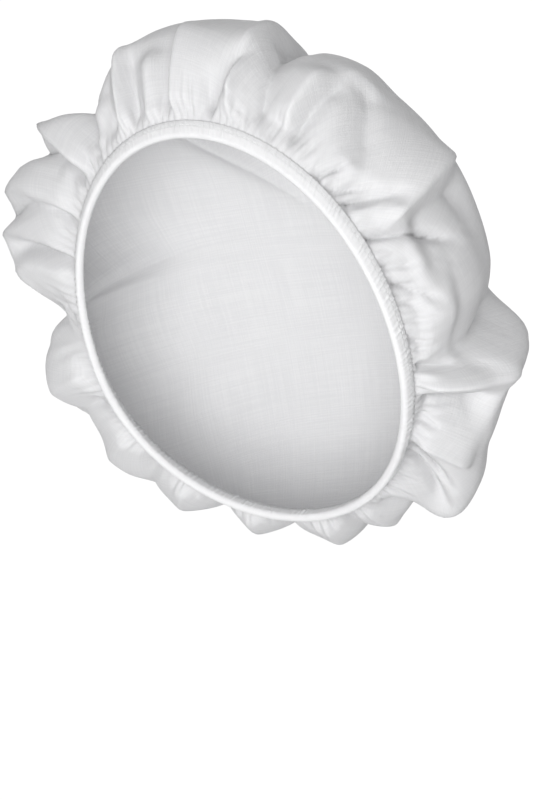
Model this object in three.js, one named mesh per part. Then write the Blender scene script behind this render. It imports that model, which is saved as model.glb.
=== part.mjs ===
// A disposable bouffant cap: one round of thin white cloth, gathered all the way round
// into a narrow folded hem with a flat elastic in it, in the shape it has when worn.
// Millimetres and degrees. The cap's front is -Y, its left side is +X, and +Z is up.
// The origin is the middle of the hem's opening.
//
// A place on the cloth is an angle round the cap, 0 at its front, 90 at its left and 180
// at its rear, and a share of the way from the hem, 0, to the top of the crown, 1.

import * as THREE from "three";

// The opening, measured in its own sloping plane.
const HEM_WIDTH = 143;
const HEM_TO_BROW = 99;
const HEM_TO_NAPE = 88;
const HEM_SLOPE = 46;
const NAPE_LIFT = 12;

// The crown over that plane, and how far its cloth puffs out past the hem.
const CROWN_HEIGHT = 116;
const CROWN_SHIFT = 6;
const PUFF_REACH = 30;
const PUFF_RISE = 32;
const WIDEST_SHARE = 0.3;
const START_STEEPNESS = 0.7;
const LOBES_FADE_FROM = 0.35;
const LOBES_FADE_TO = 0.8;

// Folds and gathers.
const FOLD_DEPTH = 5;
const FOLD_WIDTH = 6;
const GATHER_DEPTH = 0.9;
const GATHER_COUNT = 48;
const GATHER_SHARE = 0.12;
const PUCKER_DEPTH = 0.35;

// Cloth, hem and elastic.
const CLOTH_WALL = 1.2;
const HEM_WALL = 1.0;
const ELASTIC_WIDTH = 4;
const ELASTIC_THICKNESS = 1.2;
const SEAM_DEPTH = 2;
const SEAM_EXIT = 0.6;
const CLEARANCE = 0.3;
const HEM_LEAN_BROW = 45;
const HEM_LEAN_NAPE = 0;

// Sizes that follow from those above.
const HEM_CAVITY = Math.max(CLOTH_WALL, ELASTIC_THICKNESS) + 2 * CLEARANCE;
const HEM_THICKNESS = HEM_CAVITY + 2 * HEM_WALL;
const HEM_DEPTH = HEM_WALL + ELASTIC_WIDTH + SEAM_DEPTH + 2 * CLEARANCE;
const CLOTH_START = HEM_DEPTH + SEAM_EXIT;
const CLOTH_LENGTH = CROWN_HEIGHT + HEM_TO_BROW;
const SPREAD_RADIUS = HEM_WIDTH / 2 + PUFF_REACH;

// How the mesh is divided: columns all the way round, halved towards the top of the crown.
const COLUMNS = 144;
const LEVELS = [
  { columns: COLUMNS, shares: [0, 0.04, 0.085, 0.13, 0.18, 0.235, 0.3, 0.37, 0.45, 0.54] },
  { columns: COLUMNS / 2, shares: [0.64, 0.74] },
  { columns: COLUMNS / 4, shares: [0.82, 0.89] },
  { columns: COLUMNS / 8, shares: [0.95] },
];

// The puffed form all round. Reach is a share of PUFF_REACH, how far the widest
// line stands out from the hem, and rise a share of PUFF_RISE, how far it stands above.
// Towards the top of the crown the lobes even out.
const LOBES = [
  { angle: -180, reach: 0.93, rise: 1.12 },
  { angle: -165, reach: 0.93, rise: 1.06 },
  { angle: -150, reach: 0.93, rise: 1.0 },
  { angle: -135, reach: 1.15, rise: 0.88 },
  { angle: -125, reach: 1.33, rise: 0.81 },
  { angle: -115, reach: 1.18, rise: 0.81 },
  { angle: -107, reach: 1.4, rise: 0.81 },
  { angle: -100, reach: 1.5, rise: 0.88 },
  { angle: -92, reach: 1.15, rise: 0.81 },
  { angle: -87, reach: 0.72, rise: 0.69 },
  { angle: -82, reach: 1.15, rise: 0.81 },
  { angle: -76, reach: 1.75, rise: 1.0 },
  { angle: -68, reach: 1.5, rise: 0.94 },
  { angle: -62, reach: 1.47, rise: 0.94 },
  { angle: -52, reach: 1.2, rise: 0.88 },
  { angle: -44, reach: 1.1, rise: 0.88 },
  { angle: -36, reach: 0.95, rise: 0.88 },
  { angle: -28, reach: 0.9, rise: 0.88 },
  { angle: -15, reach: 0.95, rise: 0.94 },
  { angle: 0, reach: 0.9, rise: 0.94 },
  { angle: 10, reach: 0.86, rise: 0.94 },
  { angle: 20, reach: 0.68, rise: 0.94 },
  { angle: 30, reach: 0.83, rise: 1.0 },
  { angle: 40, reach: 0.84, rise: 1.12 },
  { angle: 50, reach: 0.74, rise: 1.25 },
  { angle: 60, reach: 0.77, rise: 1.31 },
  { angle: 70, reach: 0.76, rise: 1.34 },
  { angle: 80, reach: 0.7, rise: 1.34 },
  { angle: 90, reach: 0.58, rise: 1.31 },
  { angle: 98, reach: 0.38, rise: 1.25 },
  { angle: 106, reach: 1.1, rise: 1.25 },
  { angle: 116, reach: 0.9, rise: 1.06 },
  { angle: 128, reach: 0.9, rise: 0.88 },
  { angle: 140, reach: 1.25, rise: 0.88 },
  { angle: 149, reach: 1.1, rise: 0.94 },
  { angle: 165, reach: 0.8, rise: 1.06 },
];

// The main folds. Each runs from one place on the cloth to another. Depth is a share of
// FOLD_DEPTH, a ridge above zero and a groove below it. Before and after are the widths of
// its two sides, as shares of FOLD_WIDTH, and edge is how rounded its crest is.
const FOLDS = [
  { from: -2, low: 0.03, to: 1, high: 0.3, depth: -0.6, before: 0.8, after: 1.2, edge: 1.3 },
  { from: 11, low: 0.04, to: 18, high: 0.3, depth: -1.0, before: 1.5, after: 0.7, edge: 1.3 },
  { from: 20, low: 0.06, to: 7, high: 0.58, depth: 0.9, before: 1.5, after: 0.8, edge: 1.8 },
  { from: 26, low: 0.05, to: 11, high: 0.62, depth: -1.5, before: 0.7, after: 1.6, edge: 1.6 },
  { from: 28, low: 0.09, to: 44, high: 0.29, depth: 1.2, before: 1.7, after: 1.0, edge: 1.6 },
  { from: 36, low: 0.04, to: 45, high: 0.38, depth: -1.3, before: 0.7, after: 1.5, edge: 1.3 },
  { from: 47, low: 0.26, to: 56, high: 0.12, depth: -0.7, before: 1.3, after: 1.3, edge: 2 },
  { from: 62, low: 0.06, to: 64, high: 0.36, depth: 1.0, before: 1.8, after: 0.8, edge: 1.6 },
  { from: 68, low: 0.12, to: 70, high: 0.34, depth: -1.0, before: 0.8, after: 1.5, edge: 1.8 },
  { from: 61, low: 0.02, to: 80, high: 0.3, depth: -1.1, before: 0.7, after: 1.2, edge: 1.3 },
  { from: 87, low: 0.05, to: 91, high: 0.2, depth: 0.8, before: 2.3, after: 2.0, edge: 2 },
  { from: 102, low: 0.02, to: 106, high: 0.37, depth: 1.2, before: 1.3, after: 0.8, edge: 1.6 },
  { from: 105, low: 0.02, to: 110, high: 0.4, depth: -1.8, before: 0.7, after: 2.0, edge: 1.4 },
  { from: 118, low: 0.03, to: 127, high: 0.2, depth: 0.8, before: 1.3, after: 1.3, edge: 2 },
  { from: 123, low: 0.02, to: 146, high: 0.24, depth: -1.0, before: 0.6, after: 1.4, edge: 1.4 },
  { from: -13, low: 0.02, to: -15, high: 0.27, depth: -0.6, before: 0.7, after: 1.0, edge: 1.4 },
  { from: -15, low: 0.03, to: -21, high: 0.34, depth: 0.9, before: 1.2, after: 0.8, edge: 1.6 },
  { from: -20, low: 0.03, to: -26, high: 0.34, depth: -0.8, before: 0.8, after: 0.8, edge: 1.5 },
  { from: -31, low: 0.03, to: -38, high: 0.56, depth: -2.0, before: 1.2, after: 1.0, edge: 1.5 },
  { from: -40, low: 0.03, to: -49, high: 0.36, depth: 1.0, before: 1.0, after: 0.6, edge: 1.5 },
  { from: -49, low: 0.02, to: -61, high: 0.36, depth: -1.0, before: 0.8, after: 0.7, edge: 1.4 },
  { from: -61, low: 0.02, to: -72, high: 0.36, depth: 1.1, before: 0.8, after: 1.1, edge: 1.5 },
  { from: -64, low: 0.02, to: -75, high: 0.3, depth: -1.2, before: 1.0, after: 0.7, edge: 1.4 },
  { from: -68, low: 0.03, to: -79, high: 0.26, depth: 0.9, before: 1.1, after: 1.0, edge: 1.8 },
  { from: -80, low: 0.02, to: -87, high: 0.3, depth: -0.9, before: 0.8, after: 0.8, edge: 1.5 },
  { from: -97, low: 0.03, to: -104, high: 0.26, depth: 0.8, before: 1.1, after: 1.0, edge: 1.8 },
  { from: -104, low: 0.02, to: -111, high: 0.34, depth: -1.0, before: 1.0, after: 0.8, edge: 1.4 },
  { from: -116, low: 0.03, to: -120, high: 0.3, depth: 0.8, before: 1.3, after: 1.2, edge: 1.8 },
  { from: -125, low: 0.02, to: -130, high: 0.34, depth: -0.9, before: 0.8, after: 0.8, edge: 1.4 },
  { from: -136, low: 0.03, to: -138, high: 0.34, depth: 0.8, before: 1.3, after: 1.2, edge: 1.8 },
  { from: -146, low: 0.02, to: -147, high: 0.36, depth: -1.0, before: 0.8, after: 0.8, edge: 1.4 },
  { from: -157, low: 0.03, to: -155, high: 0.36, depth: 0.9, before: 1.3, after: 1.3, edge: 1.8 },
  { from: -167, low: 0.02, to: -164, high: 0.38, depth: -0.9, before: 0.8, after: 1.0, edge: 1.4 },
  { from: 178, low: 0.03, to: 186, high: 0.38, depth: 0.8, before: 1.3, after: 1.3, edge: 1.8 },
  { from: 171, low: 0.02, to: 176, high: 0.38, depth: -0.9, before: 0.8, after: 0.8, edge: 1.4 },
  { from: 162, low: 0.03, to: 167, high: 0.36, depth: 0.6, before: 1.0, after: 1.3, edge: 1.8 },
  { from: 154, low: 0.02, to: 157, high: 0.48, depth: -2.2, before: 0.9, after: 1.3, edge: 1.6 },
];

const radians = THREE.MathUtils.degToRad;

// The difference between two angles, brought to between -180 and 180.
function turn(angle) {
  return THREE.MathUtils.euclideanModulo(angle + 180, 360) - 180;
}

// A value from a table, carried smoothly all the way round without overshoot.
function roundHead(rows, name, angle) {
  const count = rows.length;
  const place = turn(angle);
  let index = rows.findLastIndex((row) => row.angle <= place);
  const row = (offset) => rows[(index + offset + count) % count];
  const gap = (offset) => THREE.MathUtils.euclideanModulo(row(offset + 1).angle - row(offset).angle, 360);
  const slope = (offset) => (row(offset + 1)[name] - row(offset)[name]) / gap(offset);
  const tangent = (a, b) => (a * b > 0 ? (2 * a * b) / (a + b) : 0);
  const start = tangent(slope(-1), slope(0));
  const end = tangent(slope(0), slope(1));
  const t = (place - row(0).angle) / gap(0);
  const fromStart = (1 + 2 * t) * (1 - t) ** 2 * row(0)[name] + t * (1 - t) ** 2 * gap(0) * start;
  const fromEnd = t * t * (3 - 2 * t) * row(1)[name] + t * t * (t - 1) * gap(0) * end;
  return fromStart + fromEnd;
}

// The hem's line at an angle, in the opening's plane: the point, the way straight out
// from the crown's centre, and how far away that centre is.
function hemLine(angle) {
  const a = radians(angle);
  const length = Math.cos(a) > 0 ? HEM_TO_BROW : HEM_TO_NAPE;
  const x = (HEM_WIDTH / 2) * Math.sin(a);
  const down = -length * Math.cos(a);
  const lift = NAPE_LIFT * Math.max(0, -Math.cos(a)) ** 2;
  const radius = Math.hypot(x, down - CROWN_SHIFT);
  const out = { x: x / radius, down: (down - CROWN_SHIFT) / radius };
  return { x, down, lift, radius, out };
}

// A point given by its distance out from the hem's line and up from the opening's plane.
function place(angle, outward, upward) {
  const hem = hemLine(angle);
  const slope = radians(HEM_SLOPE);
  const down = hem.down + hem.out.down * outward;
  const up = hem.lift + upward;
  return new THREE.Vector3(
    hem.x + hem.out.x * outward,
    down * Math.cos(slope) + up * Math.sin(slope),
    -down * Math.sin(slope) + up * Math.cos(slope),
  );
}

// The hem leans out in front and stands straight at the rear.
function hemLean(angle) {
  const half = (HEM_LEAN_BROW - HEM_LEAN_NAPE) / 2;
  return radians(HEM_LEAN_NAPE + half * (1 + Math.cos(radians(angle))));
}

// A point of the hem's section: along is its depth from the free edge, and off is how
// far it stands out of the hem's middle line.
function hemPlace(angle, along, off) {
  const lean = hemLean(angle);
  const outward = along * Math.sin(lean) + off * Math.cos(lean);
  const upward = along * Math.cos(lean) - off * Math.sin(lean);
  return place(angle, outward, upward);
}

// How deep one fold is at a place on the cloth.
function foldDepth(fold, angle, share) {
  const middle = (fold.from + fold.to) / 2;
  const degree = radians(1) * SPREAD_RADIUS;
  const run = (fold.to - fold.from) * degree;
  const climb = (fold.high - fold.low) * CLOTH_LENGTH;
  const across = (middle + turn(angle - middle) - fold.from) * degree;
  const along = (share - fold.low) * CLOTH_LENGTH;
  const way = (across * run + along * climb) / (run * run + climb * climb);
  const nearest = THREE.MathUtils.clamp(way, 0, 1);
  const distance = Math.hypot(across - nearest * run, along - nearest * climb);
  const width = FOLD_WIDTH * (across * climb > along * run ? fold.after : fold.before);
  const fade = THREE.MathUtils.smoothstep(nearest, 0, 0.18) * (1 - THREE.MathUtils.smoothstep(nearest, 0.55, 1));
  return FOLD_DEPTH * fold.depth * fade * Math.exp(-((distance / width) ** fold.edge));
}

// The small even gathers beside the hem, which die out a little way up the cloth.
function gatherDepth(angle, share) {
  const fade = THREE.MathUtils.smoothstep(share, 0, 0.03) * (1 - THREE.MathUtils.smoothstep(share, 0.04, GATHER_SHARE));
  return GATHER_DEPTH * fade * Math.cos(radians(GATHER_COUNT * angle));
}

// A point of the crown's outer face: a quarter ellipse from the hem out to the widest
// line, another from there in to the top, and the folds on them.
function crownPoint(angle, share) {
  const hem = hemLine(angle);
  const evenness = THREE.MathUtils.smoothstep(share, LOBES_FADE_FROM, LOBES_FADE_TO);
  const reach = PUFF_REACH * THREE.MathUtils.lerp(roundHead(LOBES, "reach", angle), 1, evenness);
  const rise = PUFF_RISE * THREE.MathUtils.lerp(roundHead(LOBES, "rise", angle), 1, evenness);
  const lean = hemLean(angle);
  const start = {
    outward: CLOTH_START * Math.sin(lean) + (CLOTH_WALL / 2) * Math.cos(lean),
    upward: CLOTH_START * Math.cos(lean) - (CLOTH_WALL / 2) * Math.sin(lean),
  };
  const radius = hem.radius + start.outward;
  const height = CROWN_HEIGHT - hem.lift - start.upward - rise;
  let outward, upward, runOut, runUp;
  if (share < WIDEST_SHARE) {
    const turnAngle = (Math.PI / 2) * (share / WIDEST_SHARE);
    outward = reach * Math.sin(turnAngle);
    upward = rise * ((1 - START_STEEPNESS) * (1 - Math.cos(turnAngle)) + START_STEEPNESS * (share / WIDEST_SHARE));
    runOut = reach * Math.cos(turnAngle);
    runUp = rise * ((1 - START_STEEPNESS) * Math.sin(turnAngle) + (START_STEEPNESS * 2) / Math.PI);
  } else {
    const turnAngle = (Math.PI / 2) * ((share - WIDEST_SHARE) / (1 - WIDEST_SHARE));
    outward = -radius + (reach + radius) * Math.cos(turnAngle);
    upward = rise + height * Math.sin(turnAngle);
    runOut = -(reach + radius) * Math.sin(turnAngle);
    runUp = height * Math.cos(turnAngle);
  }
  const depths = FOLDS.map((fold) => foldDepth(fold, angle, share));
  const depth = depths.reduce((sum, value) => sum + value, gatherDepth(angle, share));
  const steepness = Math.hypot(runOut, runUp);
  outward += start.outward + (depth * runUp) / steepness;
  upward += start.upward - (depth * runOut) / steepness;
  return place(angle, outward, upward);
}

// A closed mesh from its points and triangles.
function solid(name, points, triangles, material) {
  const geometry = new THREE.BufferGeometry();
  geometry.setAttribute("position", new THREE.Float32BufferAttribute(points.flatMap((p) => p.toArray()), 3));
  geometry.setIndex(triangles.flat());
  geometry.computeVertexNormals();
  const mesh = new THREE.Mesh(geometry, material);
  mesh.name = name;
  return mesh;
}

// The rows of the crown, from inside the hem's seam to just short of the top.
function crownRows() {
  const rows = LEVELS.flatMap(({ columns, shares }) => shares.map((share) => ({ columns, share })));
  return [{ columns: COLUMNS, inSeam: true }, ...rows];
}

// The crown's outer face: its points, and triangles that face out. Each row starts where
// the one before it ends, and a row with half the columns takes two of them at a time.
function crownFace() {
  const points = [];
  const triangles = [];
  let start = 0;
  let last = null;
  for (const row of crownRows()) {
    start = points.length;
    for (let column = 0; column < row.columns; column++) {
      const angle = (360 * column) / row.columns;
      const seam = hemPlace(angle, HEM_DEPTH - SEAM_DEPTH, CLOTH_WALL / 2);
      points.push(row.inSeam ? seam : crownPoint(angle, row.share));
    }
    if (last) {
      const step = last.columns / row.columns;
      for (let column = 0; column < row.columns; column++) {
        const here = last.start + column * step;
        const next = last.start + ((column + 1) * step) % last.columns;
        const above = start + column;
        const aboveNext = start + ((column + 1) % row.columns);
        if (step === 1) {
          triangles.push([here, next, aboveNext], [here, aboveNext, above]);
        } else {
          triangles.push([here, here + 1, above], [here + 1, aboveNext, above], [here + 1, next, aboveNext]);
        }
      }
    }
    last = { start, columns: row.columns };
  }
  const top = points.length;
  points.push(crownPoint(0, 1));
  for (let column = 0; column < last.columns; column++) {
    triangles.push([last.start + column, last.start + ((column + 1) % last.columns), top]);
  }
  return { points, triangles };
}

// The crown: its outer face, the same face set in by the cloth's wall, and the edge
// that joins them inside the hem's seam.
function crown() {
  const { points, triangles } = crownFace();
  const face = solid("face", points, triangles, null).geometry;
  const normals = face.getAttribute("normal");
  const inner = points.map((point, index) => {
    const normal = new THREE.Vector3().fromBufferAttribute(normals, index);
    return point.clone().addScaledVector(normal, -CLOTH_WALL);
  });
  for (let column = 0; column < COLUMNS; column++) {
    inner[column] = hemPlace((360 * column) / COLUMNS, HEM_DEPTH - SEAM_DEPTH, -CLOTH_WALL / 2);
  }
  const count = points.length;
  const inside = triangles.map(([a, b, c]) => [a + count, c + count, b + count]);
  const edge = [];
  for (let column = 0; column < COLUMNS; column++) {
    const next = (column + 1) % COLUMNS;
    edge.push([column, count + column, count + next], [column, count + next, next]);
  }
  const material = new THREE.MeshStandardMaterial({ color: 0xf1f3f5, roughness: 0.92, metalness: 0 });
  return solid("crown", [...points, ...inner], [...triangles, ...inside, ...edge], material);
}

// A ring round the hem with one section all the way. The section's points go round it
// anticlockwise, seen with its depth to the right and its outer side up.
function hemRing(name, columns, section, material) {
  const points = [];
  const triangles = [];
  for (let column = 0; column < columns; column++) {
    const angle = (360 * column) / columns;
    const ring = section(angle);
    ring.forEach(([along, off]) => points.push(hemPlace(angle, along, off)));
    const here = column * ring.length;
    const next = ((column + 1) % columns) * ring.length;
    for (let corner = 0; corner < ring.length; corner++) {
      const beside = (corner + 1) % ring.length;
      triangles.push([here + corner, next + beside, next + corner]);
      triangles.push([here + corner, here + beside, next + beside]);
    }
  }
  return solid(name, points, triangles, material);
}

// The hem: cloth folded over the elastic, open along the seam where the crown's edge
// goes in, its outer faces puckered by the elastic.
function hemCasing() {
  const chamfer = HEM_THICKNESS / 4;
  const section = (angle) => {
    const pucker = PUCKER_DEPTH * (0.5 + 0.5 * Math.cos(radians(GATHER_COUNT * angle)));
    const outside = HEM_THICKNESS / 2 + pucker;
    const cavity = HEM_CAVITY / 2;
    return [
      [0, -outside + chamfer],
      [chamfer, -outside],
      [HEM_DEPTH, -HEM_THICKNESS / 2],
      [HEM_DEPTH, -cavity],
      [HEM_WALL, -cavity],
      [HEM_WALL, cavity],
      [HEM_DEPTH, cavity],
      [HEM_DEPTH, HEM_THICKNESS / 2],
      [chamfer, outside],
      [0, outside - chamfer],
    ];
  };
  const material = new THREE.MeshStandardMaterial({ color: 0xfafafa, roughness: 0.88, metalness: 0 });
  return hemRing("hem_casing", COLUMNS, section, material);
}

// The flat elastic inside the hem.
function elastic() {
  const near = HEM_WALL + CLEARANCE;
  const far = near + ELASTIC_WIDTH;
  const half = ELASTIC_THICKNESS / 2;
  const section = () => [
    [near, -half],
    [far, -half],
    [far, half],
    [near, half],
  ];
  const material = new THREE.MeshStandardMaterial({ color: 0xe9eaea, roughness: 0.75, metalness: 0 });
  return hemRing("elastic", COLUMNS / 2, section, material);
}

const cap = new THREE.Group();
cap.add(crown(), hemCasing(), elastic());

export default cap;
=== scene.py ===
# %% [markdown]
# # A bouffant cap of thin white cloth
# The real object is one round of plain-woven cotton, a little over 40 cm across. Its edge is
# folded over a flat elastic and sewn, and the elastic pulls 1.3 m of edge together into an
# opening about 53 cm round. All that spare cloth has to go somewhere: it stands in small
# sharp gathers beside the hem, which join into fewer and wider folds, and these open into
# puffs.
#
# The packed model gives the frame: the crown, the hem's casing and the elastic, at their
# real sizes. Here the crown and the casing are made again as fine cloth in the same place.

# %% Load the frame
import math
from collections import namedtuple

import bpy
import numpy as np
from mathutils import Matrix, Vector


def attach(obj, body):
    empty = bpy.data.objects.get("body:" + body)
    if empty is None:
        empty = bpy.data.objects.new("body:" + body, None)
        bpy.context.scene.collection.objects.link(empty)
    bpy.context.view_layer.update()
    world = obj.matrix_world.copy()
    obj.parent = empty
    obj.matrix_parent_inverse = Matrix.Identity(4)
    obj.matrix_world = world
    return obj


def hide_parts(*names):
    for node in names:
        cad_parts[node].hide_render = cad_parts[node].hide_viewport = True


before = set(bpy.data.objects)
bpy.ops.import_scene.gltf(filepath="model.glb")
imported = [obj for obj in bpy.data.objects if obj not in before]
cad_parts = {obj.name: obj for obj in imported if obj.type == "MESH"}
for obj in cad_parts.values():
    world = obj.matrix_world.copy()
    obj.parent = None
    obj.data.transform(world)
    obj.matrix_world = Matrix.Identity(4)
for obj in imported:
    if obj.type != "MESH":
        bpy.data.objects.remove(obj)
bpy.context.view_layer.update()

# %% [markdown]
# ## Sizes
# A place on the cloth is an angle round the cap, 0 at its front, 90 at its left and 180 at
# its rear, and a share of the way from the hem, 0, to the top of the crown, 1. The sizes are
# those of the packed solids, so the cloth made here lies where they are.

# %% Sizes of the cap
MM = 0.001
HEM_WIDTH = 143 * MM
HEM_TO_FRONT = 99 * MM
HEM_TO_REAR = 88 * MM
HEM_SLOPE = math.radians(46)
REAR_LIFT = 12 * MM
CROWN_HEIGHT = 116 * MM
CROWN_SHIFT = 6 * MM
PUFF_REACH = 30 * MM
PUFF_RISE = 32 * MM
WIDEST_SHARE = 0.3
START_STEEPNESS = 0.7
LOBES_FADE_FROM = 0.35
LOBES_FADE_TO = 0.8
FOLD_DEPTH = 5 * MM
FOLD_WIDTH = 6 * MM
CLOTH_WALL = 1.2 * MM
HEM_DEPTH = 7.6 * MM
HEM_THICKNESS = 3.8 * MM
HEM_WALL = 1 * MM
SEAM_DEPTH = 2 * MM
SEAM_EXIT = 0.6 * MM
HEM_LEAN_FRONT = math.radians(45)
CLOTH_START = HEM_DEPTH + SEAM_EXIT
CLOTH_LENGTH = CROWN_HEIGHT + HEM_TO_FRONT
SPREAD_RADIUS = HEM_WIDTH / 2 + PUFF_REACH
CUT_RADIUS = 204 * MM
CLOTH_THICKNESS = 0.4 * MM
HEM_GIRTH = 530 * MM
print("cut edge pulled to a share of", round(HEM_GIRTH / (2 * math.pi * CUT_RADIUS), 2))

# %% [markdown]
# ## The puffed form
# No two sides of a worn cap are alike. A short table gives, all the way round, how far the
# widest line of the puff stands out from the hem and how far it stands above it. A smooth
# curve through the rows fills in between them, and towards the top the lobes even out.

# %% Lobes of the crown
# Reach and rise are shares of PUFF_REACH and PUFF_RISE.
Lobe = namedtuple("Lobe", "angle reach rise")
LOBES = [
    Lobe(-180, 0.93, 1.12),
    Lobe(-165, 0.93, 1.06),
    Lobe(-150, 0.93, 1.0),
    Lobe(-135, 1.15, 0.88),
    Lobe(-125, 1.33, 0.81),
    Lobe(-115, 1.18, 0.81),
    Lobe(-107, 1.4, 0.81),
    Lobe(-100, 1.5, 0.88),
    Lobe(-92, 1.15, 0.81),
    Lobe(-87, 0.72, 0.69),
    Lobe(-82, 1.15, 0.81),
    Lobe(-76, 1.66, 1.0),
    Lobe(-68, 1.5, 0.94),
    Lobe(-62, 1.47, 0.94),
    Lobe(-52, 1.2, 0.88),
    Lobe(-44, 1.1, 0.88),
    Lobe(-36, 0.95, 0.88),
    Lobe(-28, 0.9, 0.88),
    Lobe(-15, 0.95, 0.94),
    Lobe(0, 0.9, 0.94),
    Lobe(10, 0.86, 0.94),
    Lobe(20, 0.68, 0.94),
    Lobe(30, 0.83, 1.0),
    Lobe(40, 0.84, 1.12),
    Lobe(50, 0.69, 1.25),
    Lobe(60, 0.72, 1.31),
    Lobe(70, 0.73, 1.34),
    Lobe(80, 0.66, 1.34),
    Lobe(90, 0.58, 1.31),
    Lobe(100.5, 0.38, 1.25),
    Lobe(107, 1.06, 1.25),
    Lobe(116, 0.9, 1.06),
    Lobe(128, 0.9, 0.88),
    Lobe(139, 1.1, 0.88),
    Lobe(149, 1.2, 0.94),
    Lobe(165, 0.8, 1.06),
]


def smooth(start, end, value):
    """Rises from 0 to 1 between start and end without a corner."""
    t = np.clip((value - start) / (end - start), 0, 1)
    return t * t * (3 - 2 * t)


def turn(angle):
    """The same angle between -180 and 180."""
    return np.mod(angle + 180, 360) - 180


def all_round(column, angle):
    """A column of LOBES, carried smoothly all the way round without overshoot."""
    stations = np.array([lobe.angle for lobe in LOBES], float)
    values = np.array([getattr(lobe, column) for lobe in LOBES])
    xs = np.concatenate([stations - 360, stations, stations + 360])
    ys = np.tile(values, 3)
    slopes = np.diff(ys) / np.diff(xs)
    before, after = slopes[:-1], slopes[1:]
    total = np.where(before + after == 0, 1, before + after)
    tangents = np.zeros_like(ys)
    tangents[1:-1] = np.where(before * after > 0, 2 * before * after / total, 0)
    place = turn(angle)
    index = np.searchsorted(xs, place, side="right") - 1
    gap = xs[index + 1] - xs[index]
    t = (place - xs[index]) / gap
    start = (1 + 2 * t) * (1 - t) ** 2 * ys[index] + t * (1 - t) ** 2 * gap * tangents[index]
    end = t * t * (3 - 2 * t) * ys[index + 1] + t * t * (t - 1) * gap * tangents[index + 1]
    return start + end


print("lobes:", len(LOBES))
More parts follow.
